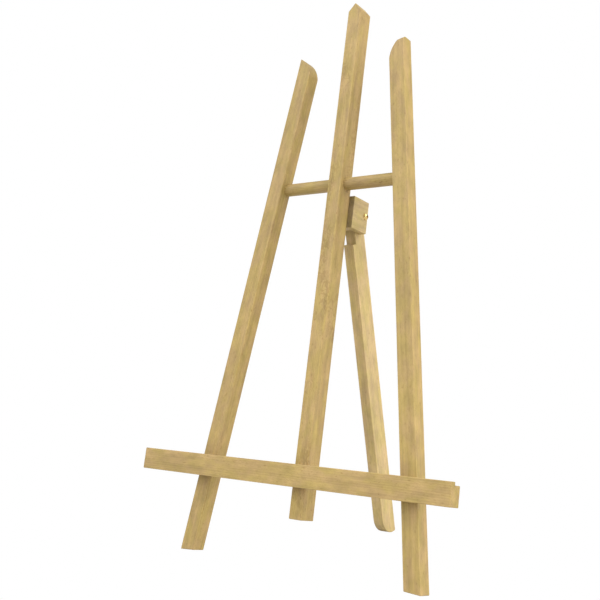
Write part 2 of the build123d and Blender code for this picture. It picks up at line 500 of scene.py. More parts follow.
class EffectGroup:
    """A shader node group that several finishes share, built once.

    Subclasses name it, list its inputs and outputs, and draw its inside.
    """

    name = "effect"
    inputs: dict[str, object] = {}
    outputs: tuple[str, ...] = ()

    @classmethod
    def tree(cls) -> bpy.types.NodeTree:
        """The group's tree, made on the first call."""
        found = bpy.data.node_groups.get(cls.name)
        if found:
            return found
        tree = bpy.data.node_groups.new(cls.name, "ShaderNodeTree")
        for name, default in cls.inputs.items():
            kind = "NodeSocketVector" if default is None else "NodeSocketFloat"
            socket = tree.interface.new_socket(name=name, in_out="INPUT", socket_type=kind)
            if default is not None:
                socket.default_value = default
        for name in cls.outputs:
            tree.interface.new_socket(name=name, in_out="OUTPUT", socket_type="NodeSocketFloat")
        source = tree.nodes.new("NodeGroupInput")
        sink = tree.nodes.new("NodeGroupOutput")
        results = cls.draw(Graph(tree), {s.name: s for s in source.outputs if s.name})
        for name, socket in results.items():
            tree.links.new(socket, sink.inputs[name])
        return tree

    @classmethod
    def draw(cls, graph: Graph, inputs: dict[str, Socket]) -> dict[str, Socket]:
        """Draw the group's inside and return the socket for each output."""
        raise NotImplementedError

    @classmethod
    def use(cls, graph: Graph, values: dict[str, object]) -> dict[str, Socket]:
        """Place the group in a material with its own values, and return its outputs by name."""
        node = graph.tree.nodes.new("ShaderNodeGroup")
        node.node_tree = cls.tree()
        for name, value in values.items():
            graph.feed(node.inputs[name], value)
        return {s.name: s for s in node.outputs}


class BeechGrain(EffectGroup):
    """Solid beech figure: growth rings about a distant pith, ray flecks, pores and fine fibre."""

    name = "beech grain"
    inputs = {
        "Vector": None, "Normal": None, "Ring Spacing": 0.0022, "Pith Across": 0.05, "Pith Back": 0.03,
        "Waviness": 0.0018, "Seed": 0.0,
    }
    outputs = (
        "Rings", "Flecks", "Dark Flecks", "Curls", "Pores", "Fibre", "Tone", "Warmth", "End Grain", "Relief",
    )

    # Cells to the metre across, back and along the grain, from the slowest figure to the finest.
    SWAY = (9.0, 9.0, 3.2)
    CLOUD = (26.0, 26.0, 7.0)
    CURLED_PATCH = (45.0, 45.0, 12.0)
    FLECKED_PATCH = (60.0, 60.0, 14.0)
    WARMTH = (80.0, 80.0, 38.0)
    BLOTCH = (110.0, 110.0, 42.0)
    CONTOUR = (150.0, 150.0, 105.0)
    SEASON = (160.0, 160.0, 2.0)
    STREAK = (260.0, 260.0, 7.0)
    DARK_FLECK = (620.0, 620.0, 170.0)
    FLECK = (1500.0, 1500.0, 300.0)
    FIBRE = (2600.0, 2600.0, 45.0)
    PORES = (5200.0, 5200.0, 620.0)

    @classmethod
    def draw(cls, graph: Graph, inputs: dict[str, Socket]) -> dict[str, Socket]:
        """Draw the figure.

        Rings are a soft saw wave of the distance from the pith, divided by the ring spacing, after
        the grain has wandered a little along the batten. Flecks, pores and fibre are noise
        stretched along the grain to their real lengths. Curls are the thin lines where coarser
        noise passes through its middle value, in patches, as rays show where the timber curls.

        Args:
            graph: the group's graph.
            inputs: its input sockets.

        Returns:
            A mask or value for each output.
        """
        seeded = graph.vector_math("ADD", inputs["Vector"], graph.joined(0.0, 0.0, inputs["Seed"]))
        slow = graph.vector_math("MULTIPLY", seeded, cls.SWAY)
        wander = graph.add("TexNoise", {"Vector": slow, "Scale": 1.0, "Detail": 2.0}).outputs["Color"]
        sway = graph.vector_math("SUBTRACT", wander, (0.5, 0.5, 0.5))
        bent = graph.add("VectorMath", {0: sway, "Scale": inputs["Waviness"]}, operation="SCALE").outputs[0]
        bent = graph.vector_math("MULTIPLY_ADD", bent, (6.0, 6.0, 0.0), seeded)
        x, y, _ = graph.axes(bent)
        x, y = graph.math("ADD", x, inputs["Pith Across"]), graph.math("ADD", y, inputs["Pith Back"])
        distance = graph.length(graph.joined(x, y, 0.0))
        phase = graph.math("FRACT", graph.math("DIVIDE", distance, inputs["Ring Spacing"]))
        saw = graph.math("MULTIPLY", graph.ramp(phase, 0.25, 0.93), graph.ramp(phase, 0.93, 1.0, 1.0, 0.0))
        season = graph.ramp(graph.noise(bent, cls.SEASON, 1.0), 0.3, 0.7, 0.35, 1.0)
        rings = graph.math("MULTIPLY", saw, season)

        dash = graph.ramp(graph.noise(bent, cls.FLECK, 1.5, 0.55), 0.56, 0.68)
        patch = graph.ramp(graph.noise(seeded, cls.FLECKED_PATCH, 1.0), 0.35, 0.65, 0.45, 1.0)
        flecks = graph.math("MULTIPLY", dash, patch)
        pores = graph.ramp(graph.noise(bent, cls.PORES, 1.0), 0.60, 0.72)
        fibre = graph.noise(bent, cls.FIBRE, 3.0, 0.6)
        dark = graph.ramp(graph.noise(bent, cls.DARK_FLECK, 1.0, 0.5), 0.69, 0.77)

        streak = graph.noise(bent, cls.STREAK, 3.0, 0.6)
        blotch = graph.noise(seeded, cls.BLOTCH, 3.0, 0.6)
        cloud = graph.noise(seeded, cls.CLOUD, 2.0)
        tone = graph.math("ADD", graph.math("MULTIPLY", streak, 0.3), graph.math("MULTIPLY", cloud, 0.2))
        tone = graph.math("MULTIPLY_ADD", blotch, 0.5, tone)
        warmth = graph.ramp(graph.noise(seeded, cls.WARMTH, 2.5, 0.6), 0.33, 0.67)

        contour = graph.noise(seeded, cls.CONTOUR, 1.0, 0.5, 1.0)
        from_line = graph.math("ABSOLUTE", graph.math("SUBTRACT", contour, 0.5))
        curled = graph.ramp(graph.noise(seeded, cls.CURLED_PATCH, 1.0), 0.42, 0.62)
        curls = graph.math("MULTIPLY", graph.ramp(from_line, 0.01, 0.11, 1.0, 0.0), curled)

        end = graph.ramp(graph.math("ABSOLUTE", graph.axes(inputs["Normal"])[2]), 0.45, 0.85)
        relief = graph.math("MULTIPLY_ADD", fibre, 0.5, graph.math("MULTIPLY", rings, -0.25))
        relief = graph.math("MULTIPLY_ADD", flecks, -0.35, relief)
        relief = graph.math("MULTIPLY_ADD", pores, -0.45, relief)
        return {
            "Rings": rings, "Flecks": flecks, "Dark Flecks": dark, "Curls": curls, "Pores": pores,
            "Fibre": fibre, "Tone": tone, "Warmth": warmth, "End Grain": end, "Relief": relief,
        }


class EdgeWearAndHighlight(EffectGroup):
    """Where a batten's long edges are rubbed and catch the light: a mask that fades away from them and breaks up
    along them, for real wear and for a painted highlight.
    """

    name = "edge wear and highlight"
    inputs = {"Vector": None, "Half Width": 0.01, "Half Depth": 0.009, "Reach": 0.0022, "Seed": 0.0}
    outputs = ("Wear And Highlight",)

    # Cells to the metre across, back and along the grain.
    RUBBED_PATCH = (90.0, 90.0, 38.0)

    @classmethod
    def draw(cls, graph: Graph, inputs: dict[str, Socket]) -> dict[str, Socket]:
        """Draw the mask.

        On a face, one of the two distances from the section's sides is nil and the other is the
        distance to the nearest long edge, so their sum is that distance. It fades over the reach,
        which slow noise makes longer here and shorter there.

        Args:
            graph: the group's graph.
            inputs: its input sockets.

        Returns:
            The mask.
        """
        x, y, _ = graph.axes(inputs["Vector"])
        from_side = graph.math("SUBTRACT", inputs["Half Width"], graph.math("ABSOLUTE", x))
        from_face = graph.math("SUBTRACT", inputs["Half Depth"], graph.math("ABSOLUTE", y))
        distance = graph.math("ADD", from_side, from_face)
        seeded = graph.vector_math("ADD", inputs["Vector"], graph.joined(inputs["Seed"], 0.0, 0.0))
        patch = graph.noise(seeded, cls.RUBBED_PATCH, 3.0, 0.6)
        reach = graph.math("MULTIPLY", inputs["Reach"], graph.ramp(patch, 0.3, 0.7, 0.35, 1.5))
        share = graph.math("DIVIDE", distance, reach)
        return {"Wear And Highlight": graph.ramp(share, 0.0, 1.0, 1.0, 0.0)}


class ToolMarks(EffectGroup):
    """Faint marks of making: ripples of the planer or the dowel mill across the grain, and sanding lines."""

    name = "tool marks"
    inputs = {"Vector": None, "Pitch": 0.0024, "Seed": 0.0}
    outputs = ("Ripple", "Sanding", "Smudge")

    # Cells to the metre across, back and along the grain.
    RIPPLED_PATCH = (25.0, 25.0, 18.0)
    SANDING = (7000.0, 7000.0, 160.0)
    SMUDGE = (42.0, 42.0, 22.0)

    @classmethod
    def draw(cls, graph: Graph, inputs: dict[str, Socket]) -> dict[str, Socket]:
        """Draw the marks.

        The ripple is a sine wave along the grain of the given pitch, faded in and out by slow
        noise. Sanding is fine noise stretched along the grain, and smudges are broad soft noise.

        Args:
            graph: the group's graph.
            inputs: its input sockets.

        Returns:
            A value for each output.
        """
        seeded = graph.vector_math("ADD", inputs["Vector"], graph.joined(inputs["Seed"], inputs["Seed"], 0.0))
        turns = graph.math("MULTIPLY", graph.axes(seeded)[2], 2 * pi)
        wave = graph.math("SINE", graph.math("DIVIDE", turns, inputs["Pitch"]))
        fade = graph.ramp(graph.noise(seeded, cls.RIPPLED_PATCH, 2.0), 0.4, 0.7)
        ripple = graph.math("MULTIPLY", wave, fade)
        sanding = graph.noise(seeded, cls.SANDING, 2.0, 0.7)
        smudge = graph.noise(seeded, cls.SMUDGE, 4.0, 0.6)
        return {"Ripple": ripple, "Sanding": sanding, "Smudge": graph.ramp(smudge, 0.35, 0.7)}


class MetalMarks(EffectGroup):
    """Marks on small metal pieces: rings left by turning, fine scratches and a little tarnish."""

    name = "metal marks"
    inputs = {"Vector": None, "Ring Pitch": 0.00022, "Seed": 0.0}
    outputs = ("Rings", "Scratches", "Tarnish")

    # Cells to the metre along bench X, Y and Z.
    SCRATCH = (900.0, 6500.0, 3000.0)
    TARNISH = (420.0, 420.0, 420.0)

    @classmethod
    def draw(cls, graph: Graph, inputs: dict[str, Socket]) -> dict[str, Socket]:
        """Draw the marks.

        Rings are a sine wave of the distance from bench Z. Scratches are the thin middle band of
        stretched noise, and tarnish is soft noise at the size of the head.

        Args:
            graph: the group's graph.
            inputs: its input sockets.

        Returns:
            A value for each output.
        """
        x, y, _ = graph.axes(inputs["Vector"])
        turns = graph.math("MULTIPLY", graph.length(graph.joined(x, y, 0.0)), 2 * pi)
        rings = graph.math("SINE", graph.math("DIVIDE", turns, inputs["Ring Pitch"]))
        seeded = graph.vector_math("ADD", inputs["Vector"], graph.joined(inputs["Seed"], 0.0, 0.0))
        lines = graph.noise(seeded, cls.SCRATCH, 2.0, 0.6)
        near = graph.math("ABSOLUTE", graph.math("SUBTRACT", lines, 0.5))
        tarnish = graph.noise(seeded, cls.TARNISH, 3.0, 0.6)
        scratches = graph.ramp(near, 0.0, 0.03, 1.0, 0.0)
        return {"Rings": rings, "Scratches": scratches, "Tarnish": graph.ramp(tarnish, 0.4, 0.7)}


# ---------------------------------------------------------------------------------------------
# Finishes
# ---------------------------------------------------------------------------------------------
@dataclass(frozen=True)
class Beech:
    """Sanded beech under a thin satin coat.

    Attributes:
        slot: the record's material slot.
        pale: colour of the earlywood, linear.
        ring: colour of the latewood lines.
        fleck: colour of the ray flecks.
        ring_spacing: one year's growth, in metres.
        roughness: of a clean face.
        ripple_pitch: pitch of the mill's marks, in metres.
        ripple_height: their height, as a share of the relief.
        curl: how strongly the curled figure shows.
        end_shade: brightness of the end grain against the sides; set far below one on the fork, where it is
            painted shade.
    """

    slot: str
    pale: tuple[float, float, float] = (0.412, 0.292, 0.102)
    ring: tuple[float, float, float] = (0.324, 0.219, 0.068)
    fleck: tuple[float, float, float] = (0.235, 0.140, 0.036)
    ring_spacing: float = 2.3 * MM
    roughness: float = 0.50
    ripple_pitch: float = 2.6 * MM
    ripple_height: float = 0.05
    curl: float = 0.10
    end_shade: float = 0.96

    def material(
        self, name: str, placement: Placement, half: tuple[float, float], seed: float, tint: float = 1.0
    ) -> bpy.types.Material:
        """The wood of one piece, with its grain along bench Z.

        Args:
            name: the material's name.
            placement: the piece's placement, which lines the figure up with it.
            half: half the section's width and depth, in metres, for the worn edges and their painted highlight.
            seed: picks the stretch of timber and the place of its pith.
            tint: brightness of this piece against its neighbours.

        Returns:
            The material.
        """
        made = bpy.data.materials.new(name)
        graph = Graph.fresh(made)
        bench, normal = graph.bench(placement)
        to_pith, pith_angle = 55 * MM, 2.4 * seed
        grain = BeechGrain.use(graph, {
            "Vector": bench, "Normal": normal, "Ring Spacing": self.ring_spacing, "Seed": 1.7 * seed,
            "Pith Across": to_pith * cos(pith_angle), "Pith Back": to_pith * sin(pith_angle),
        })
        wear_and_highlight = EdgeWearAndHighlight.use(
            graph, {"Vector": bench, "Half Width": half[0], "Half Depth": half[1], "Seed": seed}
        )["Wear And Highlight"]
        marks = ToolMarks.use(graph, {"Vector": bench, "Pitch": self.ripple_pitch, "Seed": 0.3 * seed})

        colour = graph.mix(graph.math("MULTIPLY", grain["Rings"], 0.55), self.pale, self.ring)
        for mark, share in (("Flecks", 0.42), ("Dark Flecks", 0.75), ("Curls", self.curl), ("Pores", 0.22)):
            colour = graph.mix(graph.math("MULTIPLY", grain[mark], share), colour, self.fleck)
        contrast, mean_tone = 1.5, 0.5
        shade = graph.math("MULTIPLY_ADD", grain["Tone"], contrast, tint - contrast * mean_tone)
        shade = graph.math("MULTIPLY_ADD", graph.math("SUBTRACT", grain["Fibre"], 0.5), 0.16, shade)
        shade = graph.math("MULTIPLY", shade, graph.ramp(grain["End Grain"], 0.0, 1.0, 1.0, self.end_shade))
        # Painted highlight: the edge mask lightens the eased edges as if they caught the light.
        shade = graph.math("MULTIPLY_ADD", wear_and_highlight, 0.07, shade)
        shade = graph.math("MULTIPLY_ADD", marks["Smudge"], -0.03, shade)
        yellower, pinker = (0.985, 1.01, 0.92), (1.018, 0.988, 1.16)
        drift = graph.mix(grain["Warmth"], yellower, pinker)
        for tinge in (graph.joined(shade, shade, shade), drift):
            colour = graph.mix(1.0, colour, tinge, "MULTIPLY")

        sanding = graph.math("SUBTRACT", marks["Sanding"], 0.5)
        rough = graph.math("MULTIPLY_ADD", sanding, 0.16, self.roughness)
        rough = graph.math("MULTIPLY_ADD", marks["Smudge"], 0.06, rough)
        rough = graph.math("MULTIPLY_ADD", wear_and_highlight, -0.08, rough)
        rough = graph.math("MULTIPLY_ADD", grain["End Grain"], 0.16, rough)
        height = graph.math("MULTIPLY_ADD", marks["Sanding"], 0.25, grain["Relief"])
        height = graph.math("MULTIPLY_ADD", marks["Ripple"], self.ripple_height, height)
        bump = graph.add("Bump", {"Height": height, "Strength": 0.32, "Distance": 0.16 * MM})
        shader = graph.add("BsdfPrincipled", {
            "Base Color": colour, "Roughness": rough, "Normal": bump.outputs[0],
            "Specular IOR Level": 0.32, "Coat Weight": 0.06, "Coat Roughness": 0.38,
        })
        graph.show(shader.outputs[0])
        return made


@dataclass(frozen=True)
class Metal:
    """A small turned and plated or polished metal piece.

    Attributes:
        slot: the record's material slot.
        colour: its clean colour, linear.
        dull: its colour where it has tarnished.
        roughness: where it is clean.
        ring_pitch: pitch of the turning marks, in metres.
    """

    slot: str
    colour: tuple[float, float, float]
    dull: tuple[float, float, float]
    roughness: float
    ring_pitch: float = 0.22 * MM

    def material(self, name: str, placement: Placement, seed: float) -> bpy.types.Material:
        """The metal of one piece, turned about bench Z.

        Args:
            name: the material's name.
            placement: the piece's placement.
            seed: picks its scratches and tarnish.

        Returns:
            The material.
        """
        made = bpy.data.materials.new(name)
        graph = Graph.fresh(made)
        bench, _ = graph.bench(placement)
        marks = MetalMarks.use(graph, {"Vector": bench, "Ring Pitch": self.ring_pitch, "Seed": seed})
        colour = graph.mix(graph.math("MULTIPLY", marks["Tarnish"], 0.55), self.colour, self.dull)
        rough = graph.math("MULTIPLY_ADD", marks["Tarnish"], 0.16, self.roughness)
        rough = graph.math("MULTIPLY_ADD", marks["Scratches"], 0.10, rough)
        height = graph.math("MULTIPLY", marks["Scratches"], -0.5)
        height = graph.math("MULTIPLY_ADD", marks["Rings"], 0.30, height)
        bump = graph.add("Bump", {"Height": height, "Strength": 0.25, "Distance": 0.02 * MM})
        shader = graph.add("BsdfPrincipled", {
            "Base Color": colour, "Roughness": rough, "Normal": bump.outputs[0], "Metallic": 1.0,
        })
        graph.show(shader.outputs[0])
        return made


BEECH = Beech("beech")
CURLED_BEECH = Beech("beech", curl=0.50)
PALE_BEECH = Beech(
    "pale_beech", pale=(0.490, 0.368, 0.156), ring=(0.415, 0.297, 0.108), fleck=(0.320, 0.205, 0.066)
)
# The fork's end_shade of 0.52 is painted shade: its dark front stands for the shadow that the post casts on it.
FORK_BEECH = Beech(
    "pale_beech", pale=(0.505, 0.384, 0.162), ring=(0.465, 0.342, 0.138), fleck=(0.280, 0.165, 0.058),
    end_shade=0.52,
)
DOWEL_BEECH = Beech("dowel_beech", ring_spacing=1.9 * MM, ripple_pitch=1.7 * MM, ripple_height=0.22)
BRASS = Metal("brass", (0.83, 0.63, 0.27), (0.52, 0.35, 0.12), 0.20)
ZINC = Metal("zinc_steel", (0.66, 0.67, 0.68), (0.42, 0.42, 0.41), 0.30)


def dress(obj: bpy.types.Object, material: bpy.types.Material) -> None:
    """Give a piece one material, through its own slot."""
    obj.data.materials.clear()
    obj.data.materials.append(material)
    for slot in obj.material_slots:
        slot.link = "OBJECT"
        slot.material = material


# ---------------------------------------------------------------------------------------------
# The easel's pieces
# ---------------------------------------------------------------------------------------------
EASING = 0.8 * MM
OVERCUT = 1 * MM
"""How far a bore's cutter stands out of the face that it enters."""
CROSSBAR_DEPTH = 13 * MM
"""From the front faces back to the crossbar's axis."""
POST_DEPTH = 22 * MM
BLOCK_WIDTH = 32 * MM
OPEN_ANGLE = 21.7
"""Degrees between the post and the open rear leg."""


@dataclass(frozen=True)
class Bench:
    """The places that every piece is set out from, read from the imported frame.

    Attributes:
        face: the front frame's coordinates: X across, Y back from the front faces, Z up the
            slope, with the origin at the crossbar.
        pivot: the rear leg's coordinates, about the pivot screw.
        pivot_in_face: the pivot's Y and Z in face coordinates.
    """

    face: Placement
    pivot: Placement
    pivot_in_face: np.ndarray

    @classmethod
    def read(cls) -> "Bench":
        """Read the places from the frame's mounts, joint and crossbar.

        Returns:
            The bench.
        """
        seat = next(m for m in frame["record"]["mounts"] if m["name"] == "ledge_seat")
        lean = np.degrees(atan2(seat["axis"][1], seat["axis"][2]))
        turn = turn_x(-lean)
        low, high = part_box("crossbar_dowel")
        axis = (np.array(low) + np.array(high)) / 2
        face = Placement(turn, axis - turn @ np.array([0, CROSSBAR_DEPTH, 0]))
        pivot = np.array(frame["joints"][0]["pos_m"], float)
        leg = Placement(turn_x(OPEN_ANGLE - lean), pivot)
        return cls(face, leg, (turn.T @ (pivot - face.shift))[1:])


@dataclass
class Piece:
    """One visible piece of the easel, which stands for its node in the frame.

    Attributes:
        name: the piece's name.
        node: the frame's node that it stands for.
        body: the body that it rides on.
        hand: picks the unevenness of its eased edges.
        timber: picks the stretch of timber that it is cut from.
        tint: its brightness against its neighbours.
    """

    name: str
    node: str
    body: str = "frame"
    hand: float = 0.0
    timber: float = 0.0
    tint: float = 1.0

    def finish(self, obj: bpy.types.Object, material: bpy.types.Material, slot: str) -> bpy.types.Object:
        """Shade, dress and hand over the piece, and log how closely it keeps to its node's box.

        Args:
            obj: the built piece.
            material: its material.
            slot: the record's material slot; not used.

        Returns:
            The piece.
        """
        smooth(obj)
        dress(obj, material)
        low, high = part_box(self.node)
        points = np.empty(3 * len(obj.data.vertices), np.float32)
        obj.data.vertices.foreach_get("co", points)
        points = points.reshape(-1, 3)
        off = np.abs([points.min(0) - np.array(low), points.max(0) - np.array(high)]).max()
        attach(obj, self.body)
        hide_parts(self.node)
        LOG.info("%s: %d faces, %.2f mm from its node's box", self.name, len(obj.data.polygons), off / MM)
        return obj


def screw_hole(
    length: float,
    head: float = 8.0 * MM, shank: float = 4.0 * MM, taper: float = 4.0 * MM, gap: float = 0.12 * MM,
) -> Shell:
    """The hole of a countersunk screw, driven along bench -Z with its head at the origin.

    The profile rises from the point up the shank, then spreads at half a right angle to the
    head, and goes on spreading past the surface so that the cut is clean.

    Args:
        length: the screw's length, in metres.
        head: the head's diameter.
        shank: the shank's diameter.
        taper: the length of the point.
        gap: the play all round.

    Returns:
        The cutter's shell.
    """
    tip, over = 0.1 * MM, OVERCUT / 2
    rim = head / 2 + gap
    core = shank / 2 + gap
    profile = [(tip, -length), (core, taper - length), (core, -(rim - core)), (rim + over, over)]
    return turned(np.array(profile))


def rod(diameter: float, length: float) -> Shell:
    """A plain round cutter along bench Z, centred on the origin."""
    return turned(np.array([(diameter / 2, -length / 2), (diameter / 2, length / 2)]))


DRIVEN_FORWARD = turn_x(-90)
"""Turns a screw hole's bench -Z, the way the screw is driven, to -Y."""


@dataclass
class Ledge(Piece):
    """The ledge across the front: a seat behind a raised lip, screwed on from behind."""

    name: str = "ledge_with_lip"
    node: str = "ledge_bar"
    hand: float = 0.31
    timber: float = 3.7
    tint: float = 0.99
    length: float = 430 * MM
    offset: float = -16 * MM
    height: float = 25 * MM
    depth: float = 18 * MM
    top: float = -331 * MM
    lip_thickness: float = 7.5 * MM
    lip_height: float = 3.5 * MM
    screw_length: float = 30 * MM

    def screw_line(self) -> float:
        """The height of the ledge's screws in face coordinates: the middle of its back."""
        return self.top - (self.lip_height + self.height) / 2

    def build(self, bench: Bench) -> bpy.types.Object:
        """Build the ledge as one profile run along the easel's width.

        Args:
            bench: the easel's places.

        Returns:
            The finished piece.
        """
        centre = (self.offset, -self.depth / 2, self.top - self.height / 2)
        placement = bench.face.inside(LYING_ALONG_X, centre)
        top, bottom = -self.height / 2, self.height / 2
        front, back = -self.depth / 2, self.depth / 2
        seat = top + self.lip_height
        step = front + self.lip_thickness
        corners = [
            Corner(bottom, front, EASING), Corner(bottom, back, EASING), Corner(seat, back, EASING),
            Corner(seat, step, EASING), Corner(top, step, EASING), Corner(top, front, EASING),
        ]
        outline = rounded_outline(corners, spacing=4 * MM)
        ends = (-self.length / 2, self.length / 2)
        shell = eased_board(outline, ends, EASING, Plane.END, self.hand, rows=60)
        obj = mesh_object(self.name, shell, placement)
        half = (self.height / 2, self.depth / 2)
        material = BEECH.material("beech of the ledge", placement, half, self.timber, self.tint)
        return self.finish(obj, material, BEECH.slot)


@dataclass
class SideLeg(Piece):
    """A splayed side leg: an arched tip, a mitred foot and a countersunk hole for the ledge's screw."""

    name: str = "leg"
    node: str = "left_leg"
    side: int = -1
    width: float = 20 * MM
    depth: float = 18 * MM
    splay: float = 8.4
    half_spacing: float = 90 * MM
    rise: float = 169 * MM
    drop: float = 445 * MM
    tip_drop: float = 21 * MM
    tip_radius: float = 32 * MM
    mitre: float = 12.0
    crown_rise: float = 0.0
    crown_radius: float = 16 * MM
    crown_to_back: float = 6 * MM
    tip_corner: float = EASING

    def outline(self) -> Outline:
        """The leg's front outline, with its inner side towards the post."""
        half = self.width / 2
        slope = radians(self.splay)
        tip = (self.rise - half * sin(slope)) / cos(slope)
        foot = -(self.drop + half * sin(slope)) / cos(slope)
        inner_foot = foot + self.width * tan(radians(self.mitre))
        inner_tip = (-half, tip - self.tip_drop)
        outer_tip = (half, tip + self.crown_rise)
        corner_room = 1.6 * self.tip_corner
        over = [
            point for point in arch(inner_tip, outer_tip, self.tip_radius, count=13)
            if np.hypot(point.across - outer_tip[0], point.along - outer_tip[1]) > corner_room
        ]
        corners = [
            Corner(half, foot, EASING), Corner(*outer_tip, self.tip_corner), *over[::-1],
            Corner(*inner_tip, EASING), Corner(-half, inner_foot, EASING),
        ]
        return rounded_outline(corners, spacing=5 * MM)

    def crowned(self, points: np.ndarray) -> np.ndarray:
        """Round the tip over from front to back.

        Points above a round bar that lies across the leg, its crest at the tip's height, come
        down onto it. The lower of the two heights is taken softly, within half a millimetre.

        Args:
            points: the leg's points in bench coordinates.

        Returns:
            The rounded points.
        """
        if not self.crown_rise:
            return points
        slope = radians(self.splay)
        crest = (self.rise - self.width / 2 * sin(slope)) / cos(slope) + self.crown_rise
        back = points[:, 1] - (self.depth - self.crown_to_back)
        back = np.clip(back, -self.crown_radius, self.crown_radius)
        bar = crest - self.crown_radius + np.sqrt(self.crown_radius**2 - back**2)
        apart = points[:, 2] - bar
        soft = 0.5 * MM
        blend = np.clip(0.5 + 0.5 * apart / soft, 0, 1)
        lowered = points[:, 2] - np.where(apart > -soft, blend * apart + soft * blend * (1 - blend), 0)
        return np.column_stack([points[:, :2], np.minimum(points[:, 2], lowered)])

    def build(self, bench: Bench, ledge: Ledge) -> bpy.types.Object:
        """Build the leg.

        Args:
            bench: the easel's places.
            ledge: the ledge, whose screw goes through the leg.

        Returns:
            The finished piece.
        """
        shell = eased_board(self.outline(), (0, self.depth), EASING, Plane.FRONT, self.hand, rows=14)
        shell.points = self.crowned(shell.points)
        if self.side < 0:
            shell.points = shell.points * (-1, 1, 1)
            shell = shell.turned_out(True)
        top = (self.side * self.half_spacing, 0, 0)
        placement = bench.face.inside(turn_y(-self.side * self.splay), top)
        obj = mesh_object(self.name, shell, placement)
        height = ledge.screw_line()
        across = self.side * (self.half_spacing - height * tan(radians(self.splay)))
        hole = bench.face.inside(DRIVEN_FORWARD, (across, self.depth, height))
        drill(obj, [(screw_hole(ledge.screw_length), hole)])
        middle = placement.inside(np.eye(3), (0, self.depth / 2, 0))
        half = (self.width / 2, self.depth / 2)
        label = "beech of the " + self.node.replace("_", " ")
        material = BEECH.material(label, middle, half, self.timber, self.tint)
        return self.finish(obj, material, BEECH.slot)


@dataclass
class CentrePost(Piece):
    """The post: a shallow point, a bore for the crossbar and holes for three screws."""

    name: str = "post"
    node: str = "centre_post"
    hand: float = 0.57
    timber: float = 5.2
    tint: float = 1.02
    width: float = 18 * MM
    depth: float = POST_DEPTH
    rise: float = 219.5 * MM
    point: float = 10 * MM
    drop: float = 391 * MM
    bore_play: float = 0.1 * MM

    def build(
        self, bench: Bench, ledge: Ledge, crossbar: "Crossbar", block: "HingeBlock"
    ) -> bpy.types.Object:
        """Build the post.

        Args:
            bench: the easel's places.
            ledge: the ledge, screwed on through the post.
            crossbar: the dowel that passes through it.
            block: the hinge block screwed to its back.

        Returns:
            The finished piece.
        """
        half = self.width / 2
        corners = [
            Corner(-half, -self.drop, EASING), Corner(half, -self.drop, EASING),
            Corner(half, self.rise, EASING), Corner(0, self.rise + self.point, EASING),
            Corner(-half, self.rise, EASING),
        ]
        outline = rounded_outline(corners, spacing=5 * MM)
        shell = eased_board(outline, (0, self.depth), EASING, Plane.FRONT, self.hand)
        obj = mesh_object(self.name, shell, bench.face)
        ledge_hole = bench.face.inside(DRIVEN_FORWARD, (0, self.depth, ledge.screw_line()))
        bore = bench.face.inside(LYING_ALONG_X, (0, crossbar.depth, 0))
        drill(obj, [
            (screw_hole(ledge.screw_length), ledge_hole),
            (rod(crossbar.diameter + self.bore_play, 2 * self.width), bore),
            *block.screw_cutters(bench),
        ])
        middle = bench.face.inside(np.eye(3), (0, self.depth / 2, 0))
        section = (half, self.depth / 2)
        material = CURLED_BEECH.material("beech of the post", middle, section, self.timber, self.tint)
        return self.finish(obj, material, BEECH.slot)


@dataclass
class Crossbar(Piece):
    """The dowel that passes through the post, with a tenon in each side leg."""

    name: str = "crossbar"
    node: str = "crossbar_dowel"
    timber: float = 7.9
    tint: float = 0.97
    diameter: float = 15 * MM
    depth: float = CROSSBAR_DEPTH
    tenon_diameter: float = 8 * MM
    tenon_length: float = 12 * MM
    lean_reach: float = 12 * MM

    def build(self, bench: Bench, leg: SideLeg) -> bpy.types.Object:
        """Build the dowel.

        The shoulders lean with the legs' inner faces: on the bar's last rings each point is
        drawn in by its height over the axis times the tangent of the splay. A dowel has no long
        edges, so its half sizes are put far out of reach of the edge wear and its painted highlight.

        Args:
            bench: the easel's places.
            leg: a side leg, whose inner face the bar meets.

        Returns:
            The finished piece.
        """
        slope = radians(leg.splay)
        shoulder = leg.half_spacing - leg.width / 2 / cos(slope)
        end = shoulder + self.tenon_length
        radius, tenon = self.diameter / 2, self.tenon_diameter / 2
        stations = np.linspace(-shoulder, shoulder, 41)
        profile = np.vstack([
            [(tenon, -end), (tenon, -shoulder)],
            np.column_stack([np.full_like(stations, radius), stations]),
            [(tenon, shoulder), (tenon, end)],
        ])
        shell = turned(profile, around=64)
        along = shell.points[:, 2]
        lean = np.clip((np.abs(along) - shoulder + self.lean_reach) / self.lean_reach, 0, 1)
        lean = lean * (np.abs(along) <= shoulder)
        shell.points[:, 2] += np.sign(along) * lean * shell.points[:, 0] * tan(slope)
        placement = bench.face.inside(LYING_ALONG_X, (0, self.depth, 0))
        obj = mesh_object(self.name, shell, placement)
        no_edges = (1.0, 1.0)
        material = DOWEL_BEECH.material("beech of the crossbar", placement, no_edges, self.timber, self.tint)
        return self.finish(obj, material, DOWEL_BEECH.slot)


